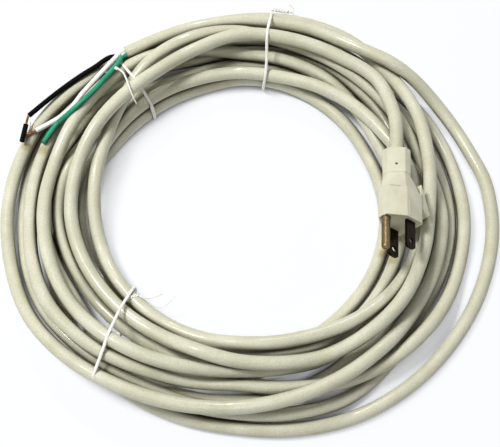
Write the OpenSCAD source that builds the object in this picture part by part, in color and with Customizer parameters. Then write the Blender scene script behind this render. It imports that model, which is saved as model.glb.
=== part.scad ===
// Shore power cord: a long three-wire cord wound into a loose coil that lies on a flat
// surface, held by three thin ties, with a moulded three-pin plug at one end and three
// stripped wires at the other. The origin is on the surface, under the middle of it all.

/* [Cord] */
// Outer diameter of the cord's jacket
cord_d = 7.8; // [7.2:0.1:8.2]
// Outer diameter of each insulated wire inside
wire_d = 3.0; // [2.4:0.1:3.2]
// Diameter of each wire's bare copper
copper_d = 1.6; // [1.2:0.1:2.0]
// Bare copper left at the end of the white wire
copper_l = 9; // [4:1:12]
// Length of the loose piece of insulation on the black wire
slug_l = 11; // [6:0.5:14]

/* [Coil] */
// Clear gap between turns that lie on each other
turn_gap = 0.6; // [0.5:0.1:1.2]
// Most that a turn climbs between two rings of the tube, 15 degrees apart
turn_climb = 8; // [6:0.5:10]

/* [Ties] */
// Width of a tie
tie_w = 2.2; // [1.5:0.1:4]
// Thickness of a tie
tie_t = 1.0; // [0.6:0.1:1.6]
// Gap between a tie and the turns that it holds
tie_gap = 0.4; // [0.3:0.1:0.8]

/* [Plug housing] */
// Width of the housing at its base, across the two blades
plug_w = 19; // [18.5:0.5:26]
// Depth of the housing, from its base to the flat on the ground side
plug_h = 22; // [20:0.5:24]
// Distance from the base to the line of the two blades
plug_base = 7.3; // [5:0.1:8]
// Height of the housing's upright sides
plug_side = 12.3; // [9:0.1:14]
// Width of the flat on the ground side
plug_flat = 6; // [4:0.5:9]
// Width of the chamfers along the base
plug_chamfer = 1; // [0.5:0.1:1.4]
// Length of the housing before its shoulders
plug_l = 19; // [16:0.5:26]
// Length of the taper from the shoulders to the neck
shoulder_l = 10; // [6:0.5:14]
// Length of the square neck
neck_l = 16.5; // [12:0.5:24]
// Size of the neck across its flats
neck_w = 15.6; // [12:0.2:17]
// Width of the chamfers along the neck
neck_chamfer = 3; // [1:0.25:4]
// Distance of the neck's axis from the line of the blades, toward the ground pin
neck_rise = 3.8; // [2:0.1:5]
// Depth of the cord's socket in the neck
socket_l = 10; // [6:0.5:14]
// Height of the finger grip's ridge
grip_h = 6; // [3:0.5:8]
// Distance from the mating face to the ridge
grip_set = 8; // [5:0.5:10]
// Radius of the small dimple in the neck
dimple_r = 0.75; // [0.5:0.05:1.2]

/* [Blades and pin] */
// Distance between the two blades, centre to centre
blade_pitch = 12.7; // [12.5:0.1:12.9]
// Width of each blade
blade_w = 6.35; // [6:0.05:6.6]
// Thickness of each blade
blade_t = 1.5; // [1.3:0.05:1.7]
// Length of the blades that stands out of the housing
blade_l = 17; // [15.9:0.1:18.3]
// Diameter of the hole near each blade's tip
blade_hole_d = 3.2; // [2.5:0.1:4]
// Distance from the hole to the blade's tip
blade_hole_set = 4.7; // [4:0.1:6]
// Distance from the line of the blades to the ground pin
pin_rise = 11.9; // [11.7:0.1:12.1]
// Diameter of the ground pin
pin_d = 4.75; // [4.6:0.05:5]
// Length of the ground pin that stands out of the housing
pin_l = 20; // [19:0.1:21.5]
// Diameter of the ground pin's root, inside the housing
pin_root_d = 5.4; // [5.2:0.1:6]
// Thickness of the carrier that holds the blades and the pin
core_t = 7; // [5:0.5:9]
// Least thickness of the housing around the carrier
core_wall = 1.2; // [0.8:0.1:2]
// Length of each crimp behind the carrier
crimp_l = 6; // [4:0.5:8]
// Outer diameter of each crimp
crimp_d = 3.6; // [3.2:0.1:4]

/* [Hidden] */

// The coil's centre, seen from the origin
coil_at = [-7.7, -5.42, 0];

// Distance of each turn from the coil's centre, in turns from the plug's end. Each row
// is a turn, and its 12 places are 30 degrees apart, from 2 o'clock back by way of 12
turns = [
    [104, 113, 110,  96,  95,  95,  88,  84,  89,  97, 105, 108],
    [121, 135, 130, 122, 131, 133, 129, 118, 112, 111, 113, 117],
    [111, 113, 116, 106,  89,  82,  78,  76,  78,  85,  98, 105],
    [ 98,  94,  93,  92,  91,  91,  84,  80,  81,  89,  92,  94],
    [ 95, 104, 107, 113, 112, 110, 107,  99,  92,  95,  94,  94],
    [105, 112, 112, 110, 121, 118, 117, 105,  98, 112, 125, 131],
    [131, 128, 130, 126, 130, 125, 120, 112, 113, 120, 117, 123],
    [121, 120, 121, 118, 114, 112, 104, 107, 106, 104, 104, 112],
    [111, 103, 103, 101, 105, 103,  94,  88,  89,  82,  83,  86],
    [ 88,  93,  93,  89,  90, 102, 113, 117, 120, 131, 140, 148]];
// The cord leaves the first row at its second place, where the run to the plug begins
places = [for (row = turns) each row];
last_place = len(places) - 2;
rings = 2 * last_place + 1;
ring_turn = 24;
ring_step = 360 / ring_turn;
first_angle = 30;

// A ring half way between two places follows the curve through the four around it
function place(k) = places[1 + min(max(k, 0), last_place)];
function ring_r(i) = i % 2 == 0 ? place(i / 2)
    : (9 * (place((i - 1) / 2) + place((i + 1) / 2))
        - place((i - 3) / 2) - place((i + 3) / 2)) / 16;
function ring_angle(i) = first_angle - ring_step * i;
radii = [for (i = [0:rings - 1]) ring_r(i)];
function between(v, x) = let (k = min(floor(x), rings - 2)) v[k] + (x - k) * (v[k + 1] - v[k]);

// Angles of the three ties, clockwise from 12 o'clock
tie_top_angle = 10;
tie_upper_angle = -37;
tie_lower_angle = -131;
function near_tie(i, a) = let (off = ((first_angle - a) / ring_step - i) % ring_turn)
    abs(off) < 1 || abs(off) > ring_turn - 1;

// Lowest height of the cord's centre: it lies on the surface, or on a tie
low_z = 0.4 * cord_d;
tied_z = cord_d / 2 + tie_gap + tie_t;
function floor_z(i) = near_tie(i, tie_top_angle) || near_tie(i, tie_upper_angle)
    || near_tie(i, tie_lower_angle) ? tied_z : low_z;
// The last turn before the plug lies over the upper left tie
function tie_lift(i) = i < ring_turn && near_tie(i, tie_upper_angle) ? tie_t + 2 * tie_gap : 0;

// Height of ring i on the turns after it, whose rings are the list z, from ring i + 1
turn_pitch = cord_d + turn_gap;
function rest_on(i, z, first) = max([floor_z(i), for (h = [-0.6, -0.3, 0, 0.3, 0.6])
    for (m = [1:1:10]) let (x = max(i + h, 0), y = x + m * ring_turn)
    if (y <= rings - 1) let (dr = between(radii, x) - between(radii, y),
        k = floor(y) - first, f = y - floor(y),
        under = k + 1 < len(z) ? z[k] + f * (z[k + 1] - z[k]) : z[k])
    if (abs(dr) < turn_pitch) under + sqrt(turn_pitch * turn_pitch - dr * dr)]);
function settle(i, z) = i < 0 ? z : let (first = i + 1,
    here = rest_on(i, z, first) + tie_lift(i),
    next = i > 0 ? rest_on(i - 1, z, first) - turn_climb : 0,
    after = i > 1 ? rest_on(i - 2, z, first) - 2 * turn_climb : 0,
    back = len(z) > 0 ? z[0] - turn_climb : 0)
    settle(i - 1, concat([max(here, next, after, back)], z));
heights = settle(rings - 1, []);

// Unit vectors at an angle round the coil: outward, and along the turn
function outward(a) = [sin(a), cos(a), 0];
function along(a) = [-cos(a), sin(a), 0];
function ring_at(i) = radii[i] * outward(ring_angle(i)) + [0, 0, heights[i]];
last_ring = rings - 1;
coil_start = ring_at(0) - cord_d * along(ring_angle(0));
coil_end = ring_at(last_ring) + cord_d * along(ring_angle(last_ring));
coil_path = concat([coil_start], [for (i = [0:last_ring]) ring_at(i)], [coil_end]);
coil_length = path_length(coil_path);

function path_length(p) = len(p) < 2 ? 0
    : let (s = [for (i = [1:len(p) - 1]) norm(p[i] - p[i - 1])]) s * [for (v = s) 1];
function unit(v) = v / norm(v);

// Least gap between the coil's rings and every piece of it that is a turn or more away
function to_piece(p, a, b) = let (ab = b - a, t = (p - a) * ab / (ab * ab))
    norm(p - a - min(max(t, 0), 1) * ab);
coil_gap = min([for (i = [0:last_ring]) for (m = [1:1:10]) for (j = [-2:1])
    let (k = i + m * ring_turn + j) if (k >= 0 && k < last_ring)
    to_piece(ring_at(i), ring_at(k), ring_at(k + 1))]) - cord_d;
echo(coil_gap = coil_gap, coil_length = coil_length);

// The plug's frame: X runs across the blades, Y toward the ground pin and Z out of the
// mating face. It leans on the coil with its nose raised, turned about its own axis
plug_at = [89.6, -16.2, 36];
plug_turn = 53;
plug_nose = 10;
plug_yaw = -4.5;
function about_z(a) = [[cos(a), -sin(a), 0], [sin(a), cos(a), 0], [0, 0, 1]];
function about_x(a) = [[1, 0, 0], [0, cos(a), -sin(a)], [0, sin(a), cos(a)]];
plug_axes = about_z(plug_yaw) * about_x(90 - plug_nose) * about_z(plug_turn);
function from_plug(p) = plug_at + plug_axes * p;
neck_z = -plug_l - shoulder_l - neck_l;
socket_z = neck_z + socket_l;

// Points of the free runs, seen from the coil's centre
to_plug = [[91, 50, 30.5], [88, 65, 29.3], [81.5, 80, 27.8]];
to_cut_end = [[146, 25, 3.1], [139, 43, 3.1], [130, 61, 3.5], [119, 76, 7],
    [106, 87, 15.2], [91.5, 95, 22], [76, 103.5, 22], [61, 112.5, 20], [43.5, 120.5, 19.8],
    [22, 124.6, 20.5], [0, 125, 21.2], [-18, 121.6, 22.4], [-32.6, 117.3, 22.9],
    [-47.6, 111.1, 23.3], [-59.3, 104.8, 23.8], [-67.6, 100.6, 23.5]];
plug_run = concat([from_plug([0, neck_rise, socket_z]),
    from_plug([0, neck_rise, neck_z - cord_d])], to_plug,
    [coil_start - cord_d * along(ring_angle(0)), coil_start]);
cut_run = concat([coil_end, coil_end + cord_d * along(ring_angle(last_ring))], to_cut_end);
echo(cord_length = coil_length + path_length(plug_run) + path_length(cut_run));

// Cut end of the jacket, its axis, and where the three wires leave it
cut_at = cut_run[len(cut_run) - 1];
cut_axis = unit(cut_at - cut_run[len(cut_run) - 2]);
cut_side = unit(cross([0, 0, 1], cut_axis));
cut_up = cross(cut_axis, cut_side);
wire_set = 0.59 * wire_d;
function at_cut(a) = cut_at + wire_set * (cos(a) * cut_side + sin(a) * cut_up);
black_run = concat([at_cut(250), at_cut(250) + wire_d * cut_axis],
    [[-76.9, 98.2, 22.8], [-86.2, 92.7, 20.7], [-93.8, 87.5, 20.1], [-100.6, 82.7, 19],
    [-113.9, 70.4, 19], [-123.3, 60.1, 20]]);
white_run = concat([at_cut(130), at_cut(130) + wire_d * cut_axis],
    [[-73.9, 96.1, 24.8], [-77.9, 92.9, 22.6], [-82.5, 88.8, 20.2], [-86.6, 84.5, 18.8],
    [-93.4, 75.6, 18.2], [-99.4, 65.4, 19], [-106.1, 59.3, 18.4], [-113, 55, 17.8],
    [-119, 51.5, 17.5]]);
green_run = concat([at_cut(10), at_cut(10) + wire_d * cut_axis],
    [[-70.5, 93, 27], [-73, 87.9, 28.6], [-76, 83.8, 28.6], [-79.1, 79.9, 28.3],
    [-85.8, 71.8, 27.2], [-93.1, 64.4, 26.2], [-100.4, 59, 22.8], [-107.2, 54.5, 18.8],
    [-110.4, 49.3, 18.7], [-114, 42.9, 18.3]]);

// Ends of the wires, and the axis of each there
function end_of(run) = run[len(run) - 1];
function axis_of(run) = unit(end_of(run) - run[len(run) - 2]);
slug_gap = 5.5;
slug_axis = unit([-1.2, -9, -0.1]);
black_out = end_of(black_run) + copper_d / 2 * axis_of(black_run);
slug_at = black_out + slug_gap * slug_axis;

// Outlines of the housing and of its neck, which is a square on its corner with its
// edges cut off. Each has 8 corners, from the base's left one round by the right
base_edge = plug_w / 2 - plug_chamfer;
housing_outline = [[-base_edge, -plug_base], [base_edge, -plug_base],
    [plug_w / 2, plug_chamfer - plug_base], [plug_w / 2, plug_side - plug_base],
    [plug_flat / 2, plug_h - plug_base], [-plug_flat / 2, plug_h - plug_base],
    [-plug_w / 2, plug_side - plug_base], [-plug_w / 2, plug_chamfer - plug_base]];
neck_side = neck_w / 2;
neck_edge = neck_side - neck_chamfer;
neck_outline = [for (p = [[-neck_side, -neck_edge], [-neck_edge, -neck_side],
    [neck_edge, -neck_side], [neck_side, -neck_edge], [neck_side, neck_edge],
    [neck_edge, neck_side], [-neck_edge, neck_side], [-neck_side, neck_edge]])
    [(p.x - p.y) * sqrt(0.5), neck_rise + (p.x + p.y) * sqrt(0.5)]];

// Tube of flat sides along a path, with square ends
module tube(path, dia, sides) {
    n = len(path);
    spots = [for (i = [0:n - 1])
        let (t = unit(path[min(i + 1, n - 1)] - path[max(i - 1, 0)]),
            s = unit(cross([0, 0, 1], t)), u = cross(t, s))
        for (k = [0:sides - 1]) let (a = 360 * k / sides - 90)
        path[i] + dia / 2 * (cos(a) * s + sin(a) * u)];
    skin(spots, n, sides);
}

// Closed surface over n rings of points
module skin(spots, n, sides) {
    walls = [for (i = [0:n - 2]) for (k = [0:sides - 1])
        let (a = i * sides + k, b = i * sides + (k + 1) % sides)
        each [[a, a + sides, b], [b, a + sides, b + sides]]];
    near = [for (k = [1:sides - 2]) [0, k, k + 1]];
    far = let (o = (n - 1) * sides) [for (k = [1:sides - 2]) [o, o + k + 1, o + k]];
    polyhedron(concat([for (p = spots) p]), concat(walls, near, far));
}

// What lies under the surface is cut off
module on_surface() {
    difference() {
        children();
        translate([-200, -200, -cord_d])
            cube([400, 400, cord_d]);
    }
}

module in_plug() {
    translate(coil_at + plug_at)
        rotate([90 - plug_nose, 0, plug_yaw])
        rotate([0, 0, plug_turn])
        children();
}

module cord_coil() {
    spots = [for (i = [0:len(coil_path) - 1])
        let (a = ring_angle(min(max(i - 1, 0), last_ring)))
        for (k = [0:5]) let (b = 60 * k - 90)
        coil_path[i] + cord_d / 2 * (-cos(b) * outward(a) + [0, 0, sin(b)])];
    color("#c9c6ad")
        translate(coil_at)
        on_surface()
        skin(spots, len(coil_path), 6);
}

module cord_to_plug() {
    color("#c9c6ad")
        translate(coil_at)
        tube(plug_run, cord_d, 10);
}

module cord_to_cut_end() {
    color("#c9c6ad")
        translate(coil_at)
        on_surface()
        tube(cut_run, cord_d, 10);
}

module wire_black() {
    color("#242424")
        translate(coil_at)
        tube(black_run, wire_d, 8);
}

module wire_white() {
    color("#e4e4dc")
        translate(coil_at)
        tube(white_run, wire_d, 8);
}

module wire_green() {
    color("#2f7a4d")
        translate(coil_at)
        tube(green_run, wire_d, 8);
}

// Straight round bar from a point along an axis
module bar(at, axis, len, dia) {
    side = acos(axis.z);
    turn = atan2(axis.y, axis.x);
    translate(coil_at + at)
        rotate([0, side, turn])
        cylinder(d = dia, h = len, $fn = 24);
}

module copper_white() {
    color("#a8794f")
        bar(end_of(white_run), axis_of(white_run), copper_l, copper_d);
}

// The black wire's copper runs on into the loose piece of its insulation
module copper_black() {
    color("#a8794f")
        bar(black_out, slug_axis, slug_gap + 0.75 * slug_l, copper_d);
}

// The green wire is cut off short, with its copper level with the end
module copper_green() {
    color("#a8794f")
        bar(end_of(green_run), axis_of(green_run), copper_d / 2, copper_d);
}

module loose_insulation() {
    color("#242424")
        difference() {
            bar(slug_at, slug_axis, slug_l, wire_d);
            bar(slug_at - slug_axis, slug_axis, slug_l + 2, copper_d + 0.2);
        }
}

// Outside of the housing, from the end of the neck to the mating face
module housing_shape() {
    skin([for (p = neck_outline) [p.x, p.y, neck_z],
        for (p = neck_outline) [p.x, p.y, -plug_l - shoulder_l],
        for (p = housing_outline) [p.x, p.y, -plug_l],
        for (p = housing_outline) [p.x, p.y, 0]], 4, 8);
}

// Finger grip under the base: a wedge that rises toward the mating face and ends in an
// undercut ridge
grip_side = 0.8;
grip_lip = 1.5;
module finger_grip() {
    base = -plug_base;
    start = -plug_l - 0.7 * shoulder_l;
    translate([-plug_w / 2 + grip_side, 0, 0])
        rotate([90, 0, 90])
        linear_extrude(plug_w - 2 * grip_side)
        polygon([[base + 1, start], [base, start], [base - grip_h, -grip_set - grip_lip],
            [base - grip_h, -grip_set], [base, -grip_set - grip_lip],
            [base + 1, -grip_set - grip_lip]]);
}

core_slack = 0.05;
crimp_z = -core_t - 5;
wire_ring = 0.62 * wire_d;
inner_reach = 0.5;
// Place of each blade, the pin and their wires, in the plug's frame
neutral_at = [-blade_pitch / 2, 0];
line_at = [blade_pitch / 2, 0];
ground_at = [0, pin_rise];
function wire_at(a) = [wire_ring * cos(a), neck_rise + wire_ring * sin(a)];

module core_shape(grow) {
    translate([0, 0, -core_t - grow])
        linear_extrude(core_t + 2 * grow)
        offset(delta = grow - core_wall)
        polygon(housing_outline);
}

module blade_blank(at, slack) {
    translate([at.x - blade_t / 2 - slack, at.y - blade_w / 2 - slack, crimp_z])
        cube([blade_t + 2 * slack, blade_w + 2 * slack, -crimp_z]);
}

module crimp_blank(at, slack) {
    translate([at.x, at.y, crimp_z - crimp_l - slack])
        cylinder(d = crimp_d + 2 * slack, h = crimp_l + slack, $fn = 32);
}

// Inner wire from the back of a crimp to the end of the jacket in the neck, and a
// reach past each end
module inner_wire(at, a, slack, reach) {
    from = [at.x, at.y, crimp_z - crimp_l];
    to = [wire_at(a).x, wire_at(a).y, socket_z];
    step = (to - from) / abs(to.z - from.z);
    spots = [for (c = [to + reach * step, from - reach * step])
        for (k = [0:15]) let (b = 22.5 * k)
        c + (wire_d / 2 + slack) * [cos(b), sin(b), 0]];
    skin(spots, 2, 16);
}

module plug_housing() {
    color("#dcdac2")
        in_plug()
        difference() {
            union() {
                housing_shape();
                finger_grip();
            }
            core_shape(core_slack);
            for (at = [neutral_at, line_at]) {
                blade_blank(at, core_slack);
                crimp_blank(at, core_slack);
            }
            translate([ground_at.x, ground_at.y, crimp_z])
                cylinder(d = pin_root_d + 2 * core_slack, h = 1 - crimp_z, $fn = 48);
            crimp_blank(ground_at, core_slack);
            inner_wire(neutral_at, 210, core_slack, inner_reach);
            inner_wire(line_at, 330, core_slack, inner_reach);
            inner_wire(ground_at, 90, core_slack, inner_reach);
            translate([0, neck_rise, neck_z - 1])
                cylinder(d = cord_d + 2 * core_slack, h = socket_l + 1, $fn = 48);
            translate([0, neck_rise, neck_z + 11.3])
                rotate([0, 0, -45])
                translate([0, neck_w / 2 + 0.4, 0])
                rotate([90, 0, 0])
                cylinder(r = dimple_r, h = 1.2, $fn = 24);
        }
}

module plug_core() {
    color("#cfcdb6")
        in_plug()
        difference() {
            core_shape(0);
            for (at = [neutral_at, line_at])
                translate([at.x - blade_t / 2, at.y - blade_w / 2, -core_t - 1])
                    cube([blade_t, blade_w, core_t + 2]);
            translate([ground_at.x, ground_at.y, -core_t - 1])
                cylinder(d = pin_root_d, h = core_t + 2, $fn = 48);
        }
}

// Flat blade with a rounded tip and a hole, and its tail behind the carrier
tip_r = 1.6;
module blade(at) {
    translate([at.x - blade_t / 2, at.y, 0])
        rotate([90, 0, 90])
        linear_extrude(blade_t)
        difference() {
            union() {
                translate([-blade_w / 2, crimp_z])
                    square([blade_w, blade_l - crimp_z - tip_r]);
                for (x = [-1, 1])
                    translate([x * (blade_w / 2 - tip_r), blade_l - tip_r])
                        circle(tip_r, $fn = 32);
                translate([-blade_w / 2 + tip_r, 0])
                    square([blade_w - 2 * tip_r, blade_l]);
            }
            translate([0, blade_l - blade_hole_set])
                circle(d = blade_hole_d, $fn = 32);
        }
}

module blade_line() {
    color("#8a7443")
        in_plug()
        blade(line_at);
}

module blade_neutral() {
    color("#8a7443")
        in_plug()
        blade(neutral_at);
}

// Round pin with a domed tip
module ground_pin() {
    color("#b08d4a")
        in_plug()
        translate([ground_at.x, ground_at.y, 0]) {
            translate([0, 0, crimp_z])
                cylinder(d = pin_root_d, h = -crimp_z, $fn = 48);
            cylinder(d = pin_d, h = pin_l - pin_d / 2, $fn = 48);
            translate([0, 0, pin_l - pin_d / 2])
                sphere(d = pin_d, $fn = 48);
        }
}

module crimp(at) {
    color("#b9b6a8")
        in_plug()
        crimp_blank(at, 0);
}

module crimp_line() {
    crimp(line_at);
}

module crimp_neutral() {
    crimp(neutral_at);
}

module crimp_ground() {
    crimp(ground_at);
}

module inner_black() {
    color("#242424")
        in_plug()
        inner_wire(line_at, 330, 0, 0);
}

module inner_white() {
    color("#e4e4dc")
        in_plug()
        inner_wire(neutral_at, 210, 0, 0);
}

module inner_green() {
    color("#2f7a4d")
        in_plug()
        inner_wire(ground_at, 90, 0, 0);
}

// Where turn m crosses the half plane at angle a: its distance out and its height
function crossing(m, a) = let (x = (first_angle - a) / ring_step + m * ring_turn,
    i = floor(x), p = ring_at(i), q = ring_at(i + 1),
    u = along(a), s = (p * outward(a + 90)) / (p * outward(a + 90) - q * outward(a + 90)),
    c = p + s * (q - p)) [c * outward(a), c.z];

// Flat tie drawn tight round the turns from one to another, and round the points extra.
// The free run to the cut end has a point in the top tie, so that tie goes round it too
module tie(a, from, extra) {
    spots = concat([for (m = [from:9]) crossing(m, a)], extra);
    color("#ecebe4")
        translate(coil_at)
        rotate([90, 0, 90 - a])
        translate([0, 0, -tie_w / 2])
        linear_extrude(tie_w)
        difference() {
            tie_outline(spots, tie_gap + tie_t);
            tie_outline(spots, tie_gap);
        }
}

module tie_outline(spots, grow) {
    hull()
        for (p = spots)
            translate(p)
            circle(d = cord_d + 2 * grow, $fn = 24);
}

module tie_top() {
    p = to_cut_end[9];
    tie(tie_top_angle, 0, [[norm([p.x, p.y]), p.z]]);
}

module tie_upper_left() {
    tie(tie_upper_angle, 1, []);
}

module tie_lower_left() {
    tie(tie_lower_angle, 0, []);
}

cord_coil();
cord_to_plug();
cord_to_cut_end();
wire_black();
wire_white();
wire_green();
copper_white();
copper_black();
copper_green();
loose_insulation();
plug_housing();
plug_core();
blade_line();
blade_neutral();
ground_pin();
crimp_line();
crimp_neutral();
crimp_ground();
inner_black();
inner_white();
inner_green();
tie_top();
tie_upper_left();
tie_lower_left();
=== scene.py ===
import math

import bmesh
import bpy
import numpy as np
from mathutils import Matrix, Vector


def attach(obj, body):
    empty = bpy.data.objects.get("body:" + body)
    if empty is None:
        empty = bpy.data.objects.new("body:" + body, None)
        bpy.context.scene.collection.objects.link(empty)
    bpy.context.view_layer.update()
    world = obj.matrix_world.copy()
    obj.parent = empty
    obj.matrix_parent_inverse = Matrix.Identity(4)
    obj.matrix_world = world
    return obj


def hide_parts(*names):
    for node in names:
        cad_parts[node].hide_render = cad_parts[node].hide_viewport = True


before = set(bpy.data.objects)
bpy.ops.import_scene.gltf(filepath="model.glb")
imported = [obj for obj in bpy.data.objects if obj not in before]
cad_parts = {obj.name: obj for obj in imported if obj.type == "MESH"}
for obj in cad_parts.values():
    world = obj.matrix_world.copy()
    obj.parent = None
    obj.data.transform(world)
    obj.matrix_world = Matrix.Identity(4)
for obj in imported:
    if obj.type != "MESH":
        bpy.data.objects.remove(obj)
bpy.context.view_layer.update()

MM = 0.001

# Sizes of the cord, the wires and the ties, in millimetres, as in the part's source
CORD_D = 7.8
WIRE_D = 3.0
COPPER_D = 1.6
COPPER_L = 9.0
LOOSE_L = 11.0
LOOSE_GAP = 5.5
TIE_W = 2.2
TIE_T = 1.0
TIE_GAP = 0.4
TURN_GAP = 0.6
TURN_CLIMB = 8.0

# Lowest heights of the cord's centre, on the table and on a tie, and the rise of the last
# turn before the plug where it lies on a tie
LOW_Z = 0.4 * CORD_D
TIED_Z = CORD_D / 2 + TIE_GAP + TIE_T
TIE_LIFT = TIE_T + 2 * TIE_GAP

# Distance of each turn from the coil's centre, at 12 places 30 degrees apart, from
# 2 o'clock back by way of 12. The coil starts at the second place of the first turn
TURNS = [
    [104, 113, 110, 96, 95, 95, 88, 84, 89, 97, 105, 108],
    [121, 135, 130, 122, 131, 133, 129, 118, 112, 111, 113, 117],
    [111, 113, 116, 106, 89, 82, 78, 76, 78, 85, 98, 105],
    [98, 94, 93, 92, 91, 91, 84, 80, 81, 89, 92, 94],
    [95, 104, 107, 113, 112, 110, 107, 99, 92, 95, 94, 94],
    [105, 112, 112, 110, 121, 118, 117, 105, 98, 112, 125, 131],
    [131, 128, 130, 126, 130, 125, 120, 112, 113, 120, 117, 123],
    [121, 120, 121, 118, 114, 112, 104, 107, 106, 104, 104, 112],
    [111, 103, 103, 101, 105, 103, 94, 88, 89, 82, 83, 86],
    [88, 93, 93, 89, 90, 102, 113, 117, 120, 131, 140, 148],
]
COIL_AT = np.array([-7.7, -5.42, 0.0])

# Angle of the coil's first ring, clockwise from 12 o'clock, and the rings in a turn
FIRST_ANGLE = 30
RING_TURN = 24
RING_STEP = 360 / RING_TURN
# Where a ring is set against the turns under it, in rings before or after its own place
RING_SHIFTS = (-0.6, -0.3, 0, 0.3, 0.6)
TIE_ANGLES = {"tie_top": 10, "tie_upper_left": -37, "tie_lower_left": -131}

# Points of the free runs, from the coil's centre
TO_PLUG = [[91, 50, 30.5], [88, 65, 29.3], [81.5, 80, 27.8]]
TO_CUT_END = [
    [146, 25, 3.1], [139, 43, 3.1], [130, 61, 3.5], [119, 76, 7], [106, 87, 15.2],
    [91.5, 95, 22], [76, 103.5, 22], [61, 112.5, 20], [43.5, 120.5, 19.8],
    [22, 124.6, 20.5], [0, 125, 21.2], [-18, 121.6, 22.4], [-32.6, 117.3, 22.9],
    [-47.6, 111.1, 23.3], [-59.3, 104.8, 23.8], [-67.6, 100.6, 23.5],
]
BLACK_WIRE = [
    [-76.9, 98.2, 22.8], [-86.2, 92.7, 20.7], [-93.8, 87.5, 20.1], [-100.6, 82.7, 19],
    [-113.9, 70.4, 19], [-123.3, 60.1, 20],
]
WHITE_WIRE = [
    [-73.9, 96.1, 24.8], [-77.9, 92.9, 22.6], [-82.5, 88.8, 20.2], [-86.6, 84.5, 18.8],
    [-93.4, 75.6, 18.2], [-99.4, 65.4, 19], [-106.1, 59.3, 18.4], [-113, 55, 17.8],
    [-119, 51.5, 17.5],
]
GREEN_WIRE = [
    [-70.5, 93, 27], [-73, 87.9, 28.6], [-76, 83.8, 28.6], [-79.1, 79.9, 28.3],
    [-85.8, 71.8, 27.2], [-93.1, 64.4, 26.2], [-100.4, 59, 22.8], [-107.2, 54.5, 18.8],
    [-110.4, 49.3, 18.7], [-114, 42.9, 18.3],
]

# Painted shadow on the jacket: yellow-brown spots under the ground pin and the wire ends, in
# millimetres from the coil's centre.
# Their reach is in metres, as is how near another surface is where the painted shade in creases
# and hollows gathers
SHADOW_SPOTS = [[83, -22, 7], [86, -29, 16.5], [92, -16, 17.5], [-124, 42, 14], [-114, 39, 16]]
SHADOW_SPOT_REACH, JACKET_SHADE_REACH, PLUG_SHADE_REACH = 0.0062, 0.009, 0.003

# Lay of the wires under the jacket: ridges round it, and ridges along a metre of it
LAY_RIDGES, LAY_RATE = 3, 21

# Distance between the points, and sides, of the cord, of a wire, of a strand, of the paper
# in the cut end, of a tie's band and of its twisted and loose ends
CORD_STEP, WIRE_STEP, STRAND_STEP = 4, 1.5, 0.8
PAPER_STEP, BAND_STEP, TAIL_STEP = 0.7, 1.5, 1.2
CORD_SIDES, WIRE_SIDES, STRAND_SIDES = 20, 16, 6
PAPER_SIDES, BAND_SIDES, TAIL_SIDES = 12, 10, 8

# The jacket's cut end: depth of its hollow and the hollow's share of the cord's size. The
# wires: distance from its axis, how far inside it they start, and angles round it
CUT_DEPTH, CUT_BORE = 2.4, 0.7
WIRE_SET, WIRE_ROOT = 0.59 * WIRE_D, 2
BLACK_ANGLE, WHITE_ANGLE, GREEN_ANGLE = 250, 130, 10

# Copper strands, which lie round one in the middle: how many, their size, their distance
# from the middle and the share of a turn from point to point. Stray ones: size and bend
STRANDS_ROUND = 8
STRAND_D, STRAND_OUT, STRAND_TWIST = 0.42, 0.5, 0.11
STRAY_D, STRAY_BEND = 0.34, np.array([0.35, 0.2, 0.6])

# Strips of paper in the cut end: angle round its axis, distance from it, reach and width.
# All of them: half their thickness, its waves, and how far inside the jacket they start
PAPER_STRIPS = [
    (70, 1.4, 3.2, 1.5), (190, 2.1, 4.4, 1.7), (215, 1.2, 6.2, 1.3), (310, 1.9, 2.6, 1.6),
    (0, 0.0, 1.4, 3.8),
]
PAPER_T, PAPER_WAVE, PAPER_ROOT = 0.45, 0.2, 2.3

# A tie's band: its gap from the turns, its share of the tie's width and its lowest height,
# then the size and length of its waves, and how far inside its start and how high it closes
BAND_GAP, BAND_SHARE, BAND_LOW = 0.1, 0.8, 0.6
BAND_SWAY, BAND_WAVE = 0.5, 7
BAND_BACK, BAND_RISE = 4, 14
# The tie's two ends: radius and size where they are twisted, size where they are loose,
# and the share of that at the tip
TWIST_R, TWIST_D = 0.62, 1.25
TAIL_D, TAIL_TIP = 0.8, 0.6

# The plug's frame: X across the blades, Y toward the ground pin, Z out of the mating face
PLUG_AT = np.array([89.6, -16.2, 36.0])
PLUG_TURN = 53
PLUG_NOSE = 10
PLUG_YAW = -4.5

# Sizes of the plug's housing, as in the part's source
PLUG_W, PLUG_H, PLUG_L = 19.0, 22.0, 19.0
PLUG_BASE, PLUG_SIDE, PLUG_FLAT, PLUG_CHAMFER = 7.3, 12.3, 6.0, 1.0
NECK_W, NECK_CHAMFER, NECK_RISE = 15.6, 3.0, 3.8
SHOULDER_L, NECK_L, SOCKET_L = 10.0, 16.5, 10.0
SHOULDER_Z = -PLUG_L - SHOULDER_L
NECK_Z = SHOULDER_Z - NECK_L
SOCKET_Z = NECK_Z + SOCKET_L
GRIP_H, GRIP_SET, GRIP_LIP, GRIP_SIDE, GRIP_ROOT = 6.0, 8.0, 1.5, 0.8, 1
CORE_T, CORE_WALL = 7.0, 1.2

# Room behind the carrier in its pocket
CORE_ROOM = 0.1
# Length of the step at each end of the shoulders, and how many steps each is drawn in
SHOULDER_STEP, ROOT_IN, CROWN_IN = 0.45, 1.3, 2.8
# Small mouldings in the plug's frame: corners, or size, then turn and place
LIP, LIP_TURN, LIP_AT = [(-2.95, -0.5, -19.5), (2.95, 0.35, -18.7)], -56.2, (5.8, 10.5, 0)
DIMPLE_D, DIMPLE_L, DIMPLE_TURN, DIMPLE_AT = 1.5, 2.4, -45, (5.7, 9.5, -34.2)
RIB = [(9.1, 2.9, -11), (9.85, 3.5, -0.8)]
# Roundings of the mouldings' edges
HOUSING_EDGE, GRIP_EDGE, LIP_EDGE, RIB_EDGE = 0.22, 0.55, 0.15, 0.2
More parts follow.
